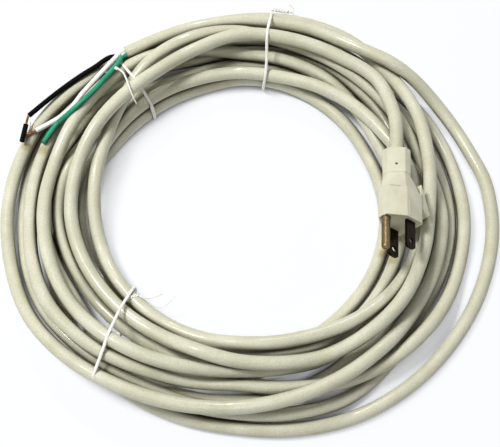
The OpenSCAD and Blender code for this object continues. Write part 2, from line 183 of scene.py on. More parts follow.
# Edges sharper than these angles are rounded, or stay sharp in the shading
ROUND_ANGLE, SHARP_ANGLE = 14, 32

# Camera: the point that it aims at and its distance from there, its angle above the table,
# its lens and the width of its sensor
CAMERA_AIM, CAMERA_REACH, CAMERA_ANGLE = (-0.76, -5.86, 0), 573.5, 68
LENS, SENSOR = 70.56, 36

# The table, in metres: its size, how far under the object it lies, and how near to the
# object it darkens. The rest shows this share of plain white
TABLE_SIZE, TABLE_DROP, TABLE_SHADE = 6, 0.0005, 0.025
TABLE_WHITE = 0.87


# ---------------------------------------------------------------- the cord's route

def unit(v):
    return v / np.linalg.norm(v)


def outward(angle):
    """Unit vector from the coil's centre at an angle."""
    a = math.radians(angle)
    return np.array([math.sin(a), math.cos(a), 0.0])


def along(angle):
    """Unit vector along a turn at an angle, toward the cut end."""
    a = math.radians(angle)
    return np.array([-math.cos(a), math.sin(a), 0.0])


def distances(points):
    """How far along a path each of its points is."""
    steps = np.linalg.norm(np.diff(points, axis=0), axis=1)
    return np.concatenate([[0], np.cumsum(steps)])


def circle(count):
    """Equal angles all round."""
    return np.arange(count) * math.pi / (count / 2)


def ring_radii():
    """Distance of each ring from the centre: the places, and one half way between two."""
    places = [r for turn in TURNS for r in turn][1:]
    last = len(places) - 1

    def place(k):
        return places[min(max(k, 0), last)]

    radii = []
    for k in range(last):
        radii.append(place(k))
        radii.append((9 * (place(k) + place(k + 1)) - place(k - 1) - place(k + 2)) / 16)
    return np.array(radii + [place(last)], float)


def near_tie(ring, tie):
    """Whether a ring is less than one step from a tie."""
    off = math.fmod((FIRST_ANGLE - TIE_ANGLES[tie]) / RING_STEP - ring, RING_TURN)
    return abs(off) < 1 or abs(off) > RING_TURN - 1


def ring_heights(radii):
    """Heights of the rings, each turn resting on those after it, on a tie or on the table."""
    count = len(radii)
    at = np.arange(count)
    heights = np.zeros(count)
    pitch = CORD_D + TURN_GAP

    def rest_on(ring):
        best = TIED_Z if any(near_tie(ring, tie) for tie in TIE_ANGLES) else LOW_Z
        for shift in RING_SHIFTS:
            x = max(ring + shift, 0)
            for y in np.arange(x + RING_TURN, count - 1 + 1e-6, RING_TURN):
                gap = np.interp(x, at, radii) - np.interp(y, at, radii)
                if abs(gap) < pitch:
                    best = max(best, np.interp(y, at, heights) + math.sqrt(pitch**2 - gap**2))
        return best

    for ring in range(count - 1, -1, -1):
        height = rest_on(ring)
        if ring < RING_TURN and near_tie(ring, "tie_upper_left"):
            height += TIE_LIFT
        for ahead in (1, 2):
            if ring >= ahead:
                height = max(height, rest_on(ring - ahead) - ahead * TURN_CLIMB)
        if ring + 1 < count:
            height = max(height, heights[ring + 1] - TURN_CLIMB)
        heights[ring] = height
    return heights


def about(axis, degrees):
    """A turn about an axis."""
    return np.array(Matrix.Rotation(math.radians(degrees), 3, axis))


PLUG_AXES = about("Z", PLUG_YAW) @ about("X", 90 - PLUG_NOSE) @ about("Z", PLUG_TURN)


def from_plug(x, y, z):
    """A point of the plug's frame, from the coil's centre."""
    return PLUG_AT + PLUG_AXES @ np.array([x, y, z], float)


def smooth_line(points, step):
    """Points about a step apart on a smooth curve through the given ones."""
    p = np.array(points, float)
    t = distances(p)
    slope = np.gradient(p, t, axis=0)
    out = []
    for i in range(len(p) - 1):
        span = t[i + 1] - t[i]
        for s in np.arange(0, 1, 1 / max(1, round(span / step))):
            a = (1 + 2 * s) * (1 - s) ** 2 * p[i] + s * (1 - s) ** 2 * span * slope[i]
            b = s * s * (3 - 2 * s) * p[i + 1] + s * s * (s - 1) * span * slope[i + 1]
            out.append(a + b)
    return np.array(out + [p[-1]])


radii = ring_radii()
heights = ring_heights(radii)
last_ring = len(radii) - 1
ring_angles = [FIRST_ANGLE - RING_STEP * i for i in range(last_ring + 1)]
coil = [radii[i] * outward(ring_angles[i]) + [0, 0, heights[i]] for i in range(last_ring + 1)]
lead_in = [coil[0] - k * CORD_D * along(ring_angles[0]) for k in (2, 1)]
lead_out = [coil[-1] + CORD_D * along(ring_angles[-1])]
plug_end = [from_plug(0, NECK_RISE, SOCKET_Z), from_plug(0, NECK_RISE, NECK_Z),
            from_plug(0, NECK_RISE, NECK_Z - CORD_D)]
route = plug_end + TO_PLUG + lead_in + coil + lead_out + TO_CUT_END
cord_line = smooth_line(route, CORD_STEP)


# ---------------------------------------------------------------- camera

def set_camera():
    """Looks down at the coil from the front."""
    target, reach = Vector(CAMERA_AIM) * MM, CAMERA_REACH * MM
    height = math.radians(CAMERA_ANGLE)
    data = bpy.data.cameras.new("Camera")
    data.lens, data.sensor_width = LENS, SENSOR
    camera = bpy.data.objects.new("Camera", data)
    bpy.context.scene.collection.objects.link(camera)
    camera.location = target + Vector((0, -math.cos(height), math.sin(height))) * reach
    camera.rotation_euler = (math.pi / 2 - height, 0, 0)
    bpy.context.scene.camera = camera


set_camera()


# ---------------------------------------------------------------- finishes

class Wire:
    """A shader socket that Python's arithmetic works on."""

    def __init__(self, tree, socket):
        self.tree, self.socket = tree, socket

    def calc(self, operation, a, b):
        return self.tree.node("ShaderNodeMath", {"operation": operation}, {0: a, 1: b})

    def __add__(self, other):
        return self.calc("ADD", self, other)

    __radd__ = __add__

    def __sub__(self, other):
        return self.calc("SUBTRACT", self, other)

    def __rsub__(self, other):
        return self.calc("SUBTRACT", other, self)

    def __mul__(self, other):
        return self.calc("MULTIPLY", self, other)

    __rmul__ = __mul__

    def clamped(self):
        return self.tree.node(
            "ShaderNodeClamp", {}, {"Value": self, "Min": 0.0, "Max": 1.0})


class Tree:
    """The nodes of a material or of the world, all made in one way."""

    def __init__(self, owner):
        owner.use_nodes = True
        self.nodes = owner.node_tree.nodes
        self.links = owner.node_tree.links

    def feed(self, socket, value):
        """Links a socket, or sets it."""
        if isinstance(value, Wire):
            self.links.new(value.socket, socket)
        else:
            socket.default_value = value

    def node(self, kind, settings=None, inputs=None, out=0):
        """Adds a node, with its settings before its inputs, and gives one of its outputs."""
        made = self.nodes.new(kind)
        for name, value in (settings or {}).items():
            if name == "stops":
                ramp = made.color_ramp.elements
                while len(ramp) < len(value):
                    ramp.new(0.5)
                for stop, (place, colour) in zip(ramp, value):
                    stop.position, stop.color = place, colour
            else:
                setattr(made, name, value)
        for name, value in (inputs or {}).items():
            self.feed(made.inputs[name], value)
        return Wire(self, made.outputs[out])

    def open_rays(self):
        """1 on the rays that see the plain background, and 0 on those that light things."""
        camera, glossy, through = [
            self.node("ShaderNodeLightPath", out=f"Is {kind} Ray")
            for kind in ("Camera", "Glossy", "Transmission")]
        return (camera + glossy + through).clamped()

    def end(self, output, share, first, second):
        """Ends the tree in a mix of two shaders."""
        mixed = self.node("ShaderNodeMixShader", {}, {0: share, 1: first, 2: second})
        self.feed(self.nodes[output].inputs["Surface"], mixed)


class Finish(Tree):
    """A material, with the constants of its shader and the patterns that vary the rest."""

    def __init__(self, name, **constants):
        self.material = bpy.data.materials.new(name)
        super().__init__(self.material)
        self.shader = self.nodes["Principled BSDF"]
        for socket, value in constants.items():
            self.shader.inputs[socket.replace("_", " ")].default_value = value

    def place(self):
        return self.node("ShaderNodeTexCoord", out="Object")

    def uv(self):
        return self.node("ShaderNodeTexCoord", out="UV")

    def noise(self, scale, detail, at=None):
        return self.node(
            "ShaderNodeTexNoise", {},
            {"Vector": at or self.place(), "Scale": scale, "Detail": detail})

    def stretched(self, at, scale):
        return self.node("ShaderNodeMapping", {}, {"Vector": at, "Scale": scale})

    def part(self, at, axis):
        return self.node("ShaderNodeSeparateXYZ", {}, {"Vector": at}, out=axis)

    def ramp(self, factor, stops):
        return self.node("ShaderNodeValToRGB", {"stops": stops}, {"Fac": factor})

    def clouded(self, cloud, dark, light):
        """From one hex colour to another, as a noise rises."""
        return self.ramp(cloud, [(0.3, rgb(dark)), (0.7, rgb(light))])

    def band(self, factor, low, high):
        """0 below low, 1 above high."""
        return self.node(
            "ShaderNodeMapRange", {"interpolation_type": "SMOOTHSTEP"},
            {"Value": factor, "From Min": low, "From Max": high})

    def blend(self, factor, a, b):
        """Colour a where the factor is 0, and b where it is 1."""
        mixed = self.node("ShaderNodeMix", {"data_type": "RGBA"}, {0: factor}, out=2)
        sockets = mixed.socket.node.inputs
        self.feed(sockets[6], a)
        self.feed(sockets[7], b)
        return mixed

    def colour(self, value):
        self.feed(self.shader.inputs["Base Color"], value)

    def rough(self, value):
        self.feed(self.shader.inputs["Roughness"], value)

    def coat(self, value):
        self.feed(self.shader.inputs["Coat Weight"], value)

    def hollows(self, reach, low=0.18, high=0.8):
        """0 deep between close surfaces, 1 in the open."""
        open_sky = self.node(
            "ShaderNodeAmbientOcclusion", {"samples": 8}, {"Distance": reach}, out="AO")
        return self.band(open_sky, low, high)

    def near(self, spot, reach):
        """1 at a spot, in millimetres from the coil's centre, and 0 past the ragged reach."""
        off = self.node(
            "ShaderNodeVectorMath", {"operation": "DISTANCE"},
            {0: self.place(), 1: (spot + COIL_AT) * MM}, out="Value")
        ragged = 0.003 * self.noise(300, 2)
        return 1 - self.band(off + ragged, 0.4 * reach, reach)

    def bump(self, height, distance):
        """distance in metres is how far a height of 1 stands out."""
        raised = self.node(
            "ShaderNodeBump", {}, {"Height": height, "Distance": distance}, out="Normal")
        self.feed(self.shader.inputs["Normal"], raised)


def rgb(code):
    """A linear colour from a hex code."""
    parts = [int(code[i:i + 2], 16) / 255 for i in (1, 3, 5)]
    return tuple(c / 12.92 if c <= 0.04045 else ((c + 0.055) / 1.055) ** 2.4 for c in parts) + (1,)


def jacket_finish():
    """Warm grey PVC over the soft lay of the three wires, with scuffs, painted shadow spots and
    painted shade in its creases.
    """
    f = Finish("jacket_pvc", Specular_IOR_Level=0.22, Coat_Roughness=0.14)
    cloud = f.noise(55, 3)
    speck = f.noise(900, 2)
    base = f.clouded(cloud, "#c4c2a9", "#d5d3bf")
    dirt = f.band(speck, 0.62, 0.78) * f.band(f.noise(120, 2), 0.45, 0.7)
    fleck = f.blend(f.band(f.noise(1300, 1), 0.38, 0.62) * 0.24, base, rgb("#a09c80"))
    worn = f.blend(dirt * 0.5, fleck, rgb("#8f8a6c"))
    # Painted shadow: yellow-brown spots where the pin and the wire ends shade the jacket
    for spot in SHADOW_SPOTS:
        worn = f.blend(f.near(spot, SHADOW_SPOT_REACH) * 0.6, worn, rgb("#92803a"))
    # Painted shade: near-black olive wherever other surfaces crowd close, darkening the creases
    # and both edges of each turn
    f.colour(f.blend(f.hollows(JACKET_SHADE_REACH), rgb("#3f3821"), worn))
    f.rough(0.36 + 0.14 * f.noise(140, 3) + 0.06 * speck)
    run, turn = f.part(f.uv(), "X"), f.part(f.uv(), "Y")
    ridges = turn * LAY_RIDGES + run * LAY_RATE
    lay = f.node("ShaderNodeMath", {"operation": "SINE"}, {0: ridges * (2 * math.pi)})
    ripple = f.noise(1.0, 2, at=f.stretched(f.uv(), (420, 2.5, 1)))
    polish = f.noise(1.0, 2, at=f.stretched(f.uv(), (14, 1.2, 1)))
    f.coat(f.band(polish, 0.42, 0.6) * 0.65)
    f.bump(lay * 0.22 + ripple * 0.3 + speck * 0.1, 0.00022)
    return f.material


def moulded_finish(name, light, dark, rough=0.42):
    """Moulded vinyl of the plug: fine grain, slight clouding, handling marks and painted shade in
    its hollows.
    """
    f = Finish(name, Specular_IOR_Level=0.3)
    cloud = f.noise(90, 3)
    grain = f.noise(2600, 2)
    mark = f.band(f.noise(1.0, 3, at=f.stretched(f.place(), (300, 90, 160))), 0.6, 0.74)
    base = f.clouded(cloud, dark, light)
    handled = f.blend(mark * 0.25, base, rgb("#b5b08c"))
    # Painted shade: dark olive in the moulding's hollows and close corners
    f.colour(f.blend(f.hollows(PLUG_SHADE_REACH), rgb("#6a6342"), handled))
    f.rough(rough + 0.14 * grain - 0.08 * mark)
    f.bump(grain * 0.5 + cloud * 0.6, 0.00012)
    return f.material


def insulation_finish(name, light, dark, rough, shine=0.5, worn="#9a988a"):
    """Thin insulation of a wire, with small scuffs."""
    f = Finish(name, Specular_IOR_Level=shine)
    cloud = f.noise(130, 3)
    scuff = f.band(f.noise(600, 2), 0.58, 0.72)
    base = f.clouded(cloud, dark, light)
    f.colour(f.blend(scuff * 0.2, base, rgb(worn)))
    f.rough(rough + 0.15 * scuff)
    f.bump(cloud * 0.7 + scuff * 0.2, 0.00012)
    return f.material


def metal_finish(name, bright, dull, rough, grain_scale, patchy=0.22):
    """Bare metal with a dull tarnish in patches and fine drawn lines."""
    f = Finish(name, Metallic=1.0)
    tarnish = f.band(f.noise(420, 3), 0.35, 0.85)
    lines = f.noise(1.0, 2, at=f.stretched(f.place(), grain_scale))
    f.colour(f.blend(tarnish, rgb(bright), rgb(dull)))
    f.rough(rough + patchy * tarnish + 0.1 * lines)
    f.bump(lines, 0.00001)
    return f.material


def tie_finish():
    """White plastic of the ties, a little cloudy."""
    f = Finish("tie_plastic", Specular_IOR_Level=0.5)
    cloud = f.noise(200, 3)
    f.colour(f.clouded(cloud, "#e6e4da", "#f6f5f0"))
    f.rough(0.34 + 0.16 * cloud)
    f.bump(cloud, 0.0001)
    return f.material


def paper_finish():
    """Pale fibre packed between the wires at the cut end."""
    f = Finish("paper_filler", Roughness=0.85)
    fibre = f.noise(2200, 3)
    f.colour(f.ramp(fibre, [(0.35, rgb("#cfccbd")), (0.65, rgb("#f3f2ec"))]))
    f.bump(fibre, 0.0003)
    return f.material


# Finishes by slot, and one more each for the ground pin and the paper in the cut end
FINISHES = {
    "jacket": jacket_finish(),
    "plug": moulded_finish("plug_vinyl", "#d3d1bb", "#c6c3aa"),
    "carrier": moulded_finish("carrier_vinyl", "#cdc9b0", "#bab596", rough=0.5),
    "insulation_black": insulation_finish(
        "black_insulation", "#090909", "#040404", rough=0.5, shine=0.04, worn="#191817"),
    "insulation_white": insulation_finish(
        "white_insulation", "#f7f6f2", "#e6e4dc", rough=0.35),
    "insulation_green": insulation_finish(
        "green_insulation", "#1f9673", "#127a5b", rough=0.4, shine=0.35, worn="#4aa98a"),
    "copper": metal_finish(
        "bare_copper", "#8f5f40", "#4d3020", rough=0.35, grain_scale=(900, 900, 900)),
    # The blades' brass is painted near black: painted shade standing for the dark surroundings
    # that they reflect
    "blade_brass": metal_finish(
        "blade_brass", "#1f160d", "#0c0805", rough=0.2, grain_scale=(900, 60, 900)),
    "crimp_tin": metal_finish(
        "tinned_steel", "#bdbbb2", "#86847a", rough=0.32, grain_scale=(60, 60, 900)),
    "tie": tie_finish(),
    # The pin's brass is painted darker than brass: painted shade for the dark edges of its
    # reflection, round the lamp's highlight
    "pin_brass": metal_finish(
        "pin_brass", "#7a6a4e", "#5a4a31", rough=0.33, grain_scale=(900, 60, 900), patchy=0.04),
    "paper": paper_finish(),
}


# ---------------------------------------------------------------- making pieces

def show(obj, slot, finish=None):
    """Puts a piece on the object's one body, with its slot's finish or another."""
    obj.data.materials.clear()
    obj.data.materials.append(FINISHES[finish or slot])
    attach(obj, "root")
    return obj


def mesh_piece(name, points, faces, uvs):
    """An object of a mesh in millimetres from the coil's centre."""
    mesh = bpy.data.meshes.new(name)
    mesh.from_pydata([tuple((p + COIL_AT) * MM) for p in points], [], faces)
    mesh.shade_smooth()
    layer = mesh.uv_layers.new(name="UVMap")
    for loop, uv in zip(layer.data, uvs):
        loop.uv = uv
    obj = bpy.data.objects.new(name, mesh)
    bpy.context.scene.collection.objects.link(obj)
    return obj


def frames(path):
    """Side and up vectors that follow a path without twisting."""
    tangents = np.gradient(path, axis=0)
    tangents = tangents / np.linalg.norm(tangents, axis=1)[:, None]
    rise = np.array([0.0, 0.0, 1.0])
    pairs = []
    for t in tangents:
        rise = unit(rise - t * (rise @ t))
        pairs.append((np.cross(t, rise), rise))
    return pairs


def swept(name, path, section, ups=None, scale=None):
    """Closed skin of a section, in (side, up) pairs, swept along a path."""
    path = np.array(path, float)
    pairs = ups or frames(path)
    sides, count = len(section), len(path)
    sizes = scale if scale is not None else np.ones(count)
    points = [p + k * (x * s + y * u)
              for p, (s, u), k in zip(path, pairs, sizes) for x, y in section]
    run = distances(path) * MM
    faces, uvs = [], []
    for i in range(count - 1):
        for k in range(sides):
            a, b = i * sides + k, i * sides + (k + 1) % sides
            faces.append((a, b, b + sides, a + sides))
            v0, v1 = k / sides, (k + 1) / sides
            uvs += [(run[i], v0), (run[i], v1), (run[i + 1], v1), (run[i + 1], v0)]
    faces.append(tuple(range(sides))[::-1])
    faces.append(tuple(range((count - 1) * sides, count * sides)))
    uvs += [(0, 0)] * sides + [(run[-1], 0)] * sides
    return mesh_piece(name, points, faces, uvs)


def round_section(diameter, sides):
    turn = 2 * math.pi / sides
    return [(diameter / 2 * math.cos(k * turn), diameter / 2 * math.sin(k * turn))
            for k in range(sides)]


def outward_faces(obj):
    """Turns a closed piece's faces outwards."""
    made = bmesh.new()
    made.from_mesh(obj.data)
    bmesh.ops.recalc_face_normals(made, faces=made.faces)
    made.to_mesh(obj.data)
    made.free()


def round_tube(name, path, diameter, sides, scale=None):
    """Closed round tube along a path."""
    obj = swept(name, path, round_section(diameter, sides), scale=scale)
    outward_faces(obj)
    return obj


# ---------------------------------------------------------------- the cord and its wires

def cord_piece():
    """The jacket, which turns back into a hollow at its cut end, round the wires."""
    end, axis = cord_line[-1], unit(cord_line[-1] - cord_line[-2])
    path = np.vstack([cord_line, [end, end - CUT_DEPTH * axis]])
    scales = np.concatenate([np.ones(len(cord_line)), [CUT_BORE, CUT_BORE]])
    pairs = frames(cord_line)
    obj = swept("cord", path, round_section(CORD_D, CORD_SIDES),
                ups=pairs + [pairs[-1]] * 2, scale=scales)
    outward_faces(obj)
    for vertex in obj.data.vertices:
        vertex.co.z = max(vertex.co.z, 0)
    return show(obj, "jacket")


cord = cord_piece()
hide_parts("cord_coil", "cord_to_plug", "cord_to_cut_end")

cut_at = np.array(TO_CUT_END[-1], float)
cut_axis = unit(cut_at - np.array(TO_CUT_END[-2], float))
cut_side = unit(np.cross([0, 0, 1], cut_axis))
cut_up = np.cross(cut_axis, cut_side)


def at_cut(angle, out=WIRE_SET):
    """A point of the jacket's cut end, by its angle round the axis and distance from it."""
    a = math.radians(angle)
    return cut_at + out * (math.cos(a) * cut_side + math.sin(a) * cut_up)


def wire_piece(name, angle, points, slot):
    """A wire and the line that it follows, from inside the jacket."""
    start = at_cut(angle)
    line = smooth_line([start - WIRE_ROOT * cut_axis, start + WIRE_D * cut_axis] + points,
                       WIRE_STEP)
    return show(round_tube(name, line, WIRE_D, WIRE_SIDES), slot), line


black, black_line = wire_piece("black_wire", BLACK_ANGLE, BLACK_WIRE, "insulation_black")
white, white_line = wire_piece("white_wire", WHITE_ANGLE, WHITE_WIRE, "insulation_white")
green, green_line = wire_piece("green_wire", GREEN_ANGLE, GREEN_WIRE, "insulation_green")
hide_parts("wire_black")
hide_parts("wire_white")
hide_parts("wire_green")


def joined(name, pieces):
    """One object out of several."""
    bpy.ops.object.select_all(action="DESELECT")
    for piece in pieces:
        piece.select_set(True)
    bpy.context.view_layer.objects.active = pieces[0]
    bpy.ops.object.join()
    pieces[0].name = name
    return pieces[0]


def strand_path(k, line, pairs, loose):
    """Strand k of a twist that opens out toward its end, each by its own lean and reach."""
    lean = loose * (0.5 + 0.5 * math.sin(5.1 * k))
    reach = max(3, round(len(line) * (1 - 0.12 * (k % 3))))
    share = np.linspace(0, 1, len(line))
    spots = []
    for i in range(reach):
        a = 2 * math.pi * (k / STRANDS_ROUND + STRAND_TWIST * i)
        out = STRAND_OUT * (k < STRANDS_ROUND) + lean * share[i] ** 2
        side, up = pairs[i]
        spots.append(line[i] + out * (math.cos(a) * side + math.sin(a) * up))
    return np.array(spots)


def copper_strands(name, path, loose, strays=()):
    """Fine strands twisted round one in the middle, and stray ones from half way along."""
    line = smooth_line(path, STRAND_STEP)
    pairs = frames(line)
    paths = [strand_path(k, line, pairs, loose) for k in range(STRANDS_ROUND + 1)]
    strands = [round_tube("strand", path, STRAND_D, STRAND_SIDES) for path in paths]
    start = line[len(line) // 2]
    for way in strays:
        spots = smooth_line([start, start + STRAY_BEND * way, start + way], STRAND_STEP)
        strands.append(round_tube("stray", spots, STRAY_D, STRAND_SIDES))
    return show(joined(name, strands), "copper")


def end_of(line, reach):
    """The point that is this far past a line's end."""
    return line[-1] + reach * unit(line[-1] - line[-2])


loose_axis = unit(np.array([-1.2, -9, -0.1]))
black_out = end_of(black_line, COPPER_D / 2)
loose_at = black_out + LOOSE_GAP * loose_axis
black_copper = copper_strands("black_copper", [
    end_of(black_line, -1.5), end_of(black_line, 0.5), black_out + 1.6 * loose_axis,
    black_out + 3.6 * loose_axis, loose_at + 0.75 * LOOSE_L * loose_axis], loose=0.2)
white_copper = copper_strands("white_copper", [
    end_of(white_line, -1.5), end_of(white_line, 1), end_of(white_line, 3),
    end_of(white_line, 6), end_of(white_line, COPPER_L)], loose=1.3,
    strays=[(0.5, 7.5, 1.0), (2.4, 6.2, 1.6), (-2.8, 3.4, 0.6)])
green_copper = copper_strands("green_copper", [
    end_of(green_line, -1.6), end_of(green_line, -0.6), end_of(green_line, 0.2)], loose=0)
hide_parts("copper_black")
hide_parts("copper_white")
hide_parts("copper_green")


def paper_filler():
    """Crushed paper strips between the wires, torn off just past the jacket."""
    strips = []
    for angle, out, reach, width in PAPER_STRIPS:
        base = at_cut(angle, out)
        path = [base - PAPER_ROOT * cut_axis, base + 0.1 * cut_axis,
                base + 0.5 * reach * cut_axis + 0.3 * cut_up,
                base + reach * cut_axis + 0.5 * cut_side]
        section = [
            (width / 2 * math.cos(a), PAPER_T * math.sin(a) + PAPER_WAVE * math.cos(3 * a))
            for a in circle(PAPER_SIDES)]
        strip = swept("strip", smooth_line(path, PAPER_STEP), section)
        outward_faces(strip)
        strips.append(strip)
    return show(joined("paper_filler", strips), "insulation_white", "paper")


paper_filler()


# ---------------------------------------------------------------- ties

def crossing(turn, angle):
    """Distance out and height of a turn where it passes an angle."""
    x = (FIRST_ANGLE - angle) / RING_STEP + turn * RING_TURN
    i = int(x)
    p, q, across = coil[i], coil[i + 1], outward(angle + 90)
    share = p @ across / (p @ across - q @ across)
    spot = p + share * (q - p)
    return np.array([spot @ outward(angle), spot[2]])


def hull(points):
    """The points of a convex outline, in order."""
    points = sorted(map(tuple, points))
    edges = []
    for row in (points, points[::-1]):
        side = []
        for p in row:
            while len(side) > 1 and (
                    (side[-1][0] - side[-2][0]) * (p[1] - side[-2][1])
                    <= (side[-1][1] - side[-2][1]) * (p[0] - side[-2][0])):
                side.pop()
            side.append(p)
        edges += side[:-1]
    return np.array(edges)


def strap_path(tie, first_turn, extra, lean, start_r):
    """A band drawn round the turns. It leans along them by lean for each mm outward."""
    angle = TIE_ANGLES[tie]

    def angle_at(r):
        return angle - math.degrees(lean * (r - start_r) / r)

    spots = [crossing(turn, angle_at(crossing(turn, angle)[0]))
             for turn in range(first_turn, len(TURNS))] + [np.array(p) for p in extra]
    reach = CORD_D / 2 + BAND_GAP + TIE_T / 2
    ring = hull([p + reach * np.array([math.cos(a), math.sin(a)])
                 for p in spots for a in circle(36)])
    off = np.hypot(ring[:, 0] - start_r + BAND_BACK, ring[:, 1] - BAND_RISE)
    first = int(np.argmin(off))
    ring = np.roll(ring, -first, axis=0)
    ring = np.vstack([ring, ring[:2]])
    run = distances(ring)
    at = np.linspace(0, run[-1], int(run[-1] / BAND_STEP))
    r, z = np.interp(at, run, ring[:, 0]), np.interp(at, run, ring[:, 1])
    sway = BAND_SWAY * np.sin(at / BAND_WAVE)
    return np.array([
        r[i] * outward(angle_at(r[i])) + [0, 0, max(z[i], BAND_LOW)] + sway[i] * along(angle)
        for i in range(len(at))])


def strap(tie, path):
    """Flat band along a path round the turns, lying against them."""
    middle = path.mean(axis=0)
    pairs = []
    for p, t in zip(path, np.gradient(path, axis=0)):
        t = unit(t)
        out = p - middle
        out = unit(out - t * (out @ t))
        pairs.append((np.cross(t, out), out))
    section = [(TIE_W / 2 * BAND_SHARE * math.cos(a), TIE_T / 2 * math.sin(a))
               for a in circle(BAND_SIDES)]
    obj = swept(tie, path, section, ups=pairs)
    outward_faces(obj)
    return obj


def twist(start, end, turns):
    """Two strands of a tie wound round each other from start to end."""
    start, end = np.array(start, float), np.array(end, float)
    side, up = frames(np.array([start, end]))[0]
    share = np.linspace(0, 1, 8 * turns + 1)
    pieces = []
    for half in (0, math.pi):
        spots = [start + s * (end - start) + TWIST_R * (
            math.cos(half + 2 * math.pi * turns * s) * side
            + math.sin(half + 2 * math.pi * turns * s) * up) for s in share]
        pieces.append(round_tube("twist", np.array(spots), TWIST_D, TAIL_SIDES))
    return pieces


def tail(points, diameter=TAIL_D):
    """A free end of a tie, thinner toward its tip."""
    line = smooth_line(points, TAIL_STEP)
    scale = np.linspace(1, TAIL_TIP, len(line))
    return round_tube("tail", line, diameter, TAIL_SIDES, scale=scale)


def tie_piece(tie, strap_line, parts):
    """A tie of one band, with its twisted and its free ends."""
    obj = show(joined(tie + "_strap", [strap(tie + "_band", strap_line)] + parts), "tie")
    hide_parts(tie)


# The top tie holds the run to the cut end too, at the run's tenth point
x, y, z = TO_CUT_END[9]
tie_piece(
    "tie_top",
    strap_path("tie_top", first_turn=0, extra=[[math.hypot(x, y), z]], lean=0.08, start_r=92),
    twist((20.5, 137.5, 15), (31, 136.6, 13.5), turns=3)
    + [tail([[31, 136.6, 13.5], [34.2, 137, 14], [33, 139.4, 15.5], [30.4, 140, 16.8]]),
       tail([[31, 136.6, 13.5], [35, 135.6, 12.5], [38, 134, 11.5]])])
tie_piece(
    "tie_upper_left",
    strap_path("tie_upper_left", first_turn=1, extra=[], lean=0, start_r=92),
    twist((-75.7, 86.6, 27.4), (-71.7, 86.6, 29.4), turns=1)
    + [tail([[-71.7, 86.8, 29.4], [-68.1, 83.2, 31], [-65.4, 77, 35.4], [-63.7, 72.1, 37.6],
             [-60.9, 64.9, 36], [-58.6, 61, 32]], diameter=1.3),
       tail([[-75.5, 86.4, 27.4], [-78, 84.6, 28], [-79.4, 83.6, 30.6]])])
tie_piece(
    "tie_lower_left",
    strap_path("tie_lower_left", first_turn=0, extra=[], lean=0.55, start_r=80),
    twist((-60.2, -51.2, 16.4), (-54.4, -49.4, 15.4), turns=2)
    + [tail([[-54.6, -49.6, 15.4], [-50.6, -50.5, 14], [-46, -49.8, 13.4],
             [-41.9, -47.9, 13]]),
       tail([[-54.6, -49.6, 15.4], [-50.5, -51.7, 14], [-46.2, -54.5, 12], [-41, -54.9, 12],
             [-38.4, -53.1, 13], [-34.5, -49.9, 14]])])


# ---------------------------------------------------------------- the plug

# From the plug's frame, in millimetres, to the object's, in metres
PLUG_PLACE = (Matrix.Translation(Vector(COIL_AT + PLUG_AT) * MM)
              @ Matrix(PLUG_AXES.tolist()).to_4x4() @ Matrix.Scale(MM, 4))


def flat_face(name, outline, z):
    """A face with the given corners, to be grown into a solid."""
    bpy.ops.object.select_all(action="DESELECT")
    bpy.ops.mesh.primitive_circle_add(vertices=len(outline), fill_type="NGON")
    obj = bpy.context.object
    obj.name = name
    for vertex, (x, y) in zip(obj.data.vertices, outline):
        vertex.co = (x, y, z)
    return obj


def grow(obj, outline, new_outline, z):
    """Extrudes the selected face from one outline and height to another."""
    bpy.ops.object.mode_set(mode="EDIT")
    bpy.ops.mesh.extrude_region_move()
    bpy.ops.object.mode_set(mode="OBJECT")
    for vertex in obj.data.vertices:
        if vertex.select:
            k = min(range(len(outline)), key=lambda i: math.dist(outline[i], vertex.co.xy))
            vertex.co = (*new_outline[k], z)


def apply(obj, kind, **settings):
    """Adds a modifier and applies it."""
    modifier = obj.modifiers.new("step", kind)
    for name, value in settings.items():
        setattr(modifier, name, value)
    bpy.ops.object.select_all(action="DESELECT")
    obj.select_set(True)
    bpy.context.view_layer.objects.active = obj
    bpy.ops.object.modifier_apply(modifier="step")


def soften(obj, width, segments=3):
    """Rounds every edge but the faintest."""
    outward_faces(obj)
    apply(obj, "BEVEL", width=width, segments=segments, limit_method="ANGLE",
          angle_limit=math.radians(ROUND_ANGLE))


def unite(obj, other, how="UNION"):
    """Joins another solid to a piece, or cuts it out."""
    apply(obj, "BOOLEAN", operation=how, object=other, solver="EXACT")
    bpy.data.objects.remove(other)


def slab(name, low, high, edge):
    """A small block with rounded edges, between two corners."""
    corners = [(low[0], low[1]), (high[0], low[1]), (high[0], high[1]), (low[0], high[1])]
    obj = flat_face(name, corners, low[2])
    grow(obj, corners, corners, high[2])
    soften(obj, edge, 2)
    return obj


def turned(obj, degrees, place):
    """Turns a piece about the plug's axis, then sets it at a place."""
    obj.data.transform(Matrix.Translation(place)
                       @ Matrix.Rotation(math.radians(degrees), 4, "Z"))
    return obj


def plug_outline():
    """The body's eight corners, seen along the plug."""
    half, base, flat = PLUG_W / 2, PLUG_BASE, PLUG_FLAT / 2
    edge, side, top = half - PLUG_CHAMFER, PLUG_SIDE - base, PLUG_H - base
    return [(-edge, -base), (edge, -base), (half, PLUG_CHAMFER - base), (half, side),
            (flat, top), (-flat, top), (-half, side), (-half, PLUG_CHAMFER - base)]


def wider(outline, by):
    """The outline with each corner moved out from its middle."""
    middle = np.mean(outline, axis=0)
    return [tuple(p + by * unit(np.array(p) - middle)) for p in outline]


def neck_outline():
    """The neck is a square on its corner, with its edges cut off."""
    side, edge, diagonal = NECK_W / 2, NECK_W / 2 - NECK_CHAMFER, math.sqrt(0.5)
    corners = [(-side, -edge), (-edge, -side), (edge, -side), (side, -edge),
               (side, edge), (edge, side), (-edge, side), (-side, edge)]
    return [((x - y) * diagonal, NECK_RISE + (x + y) * diagonal) for x, y in corners]


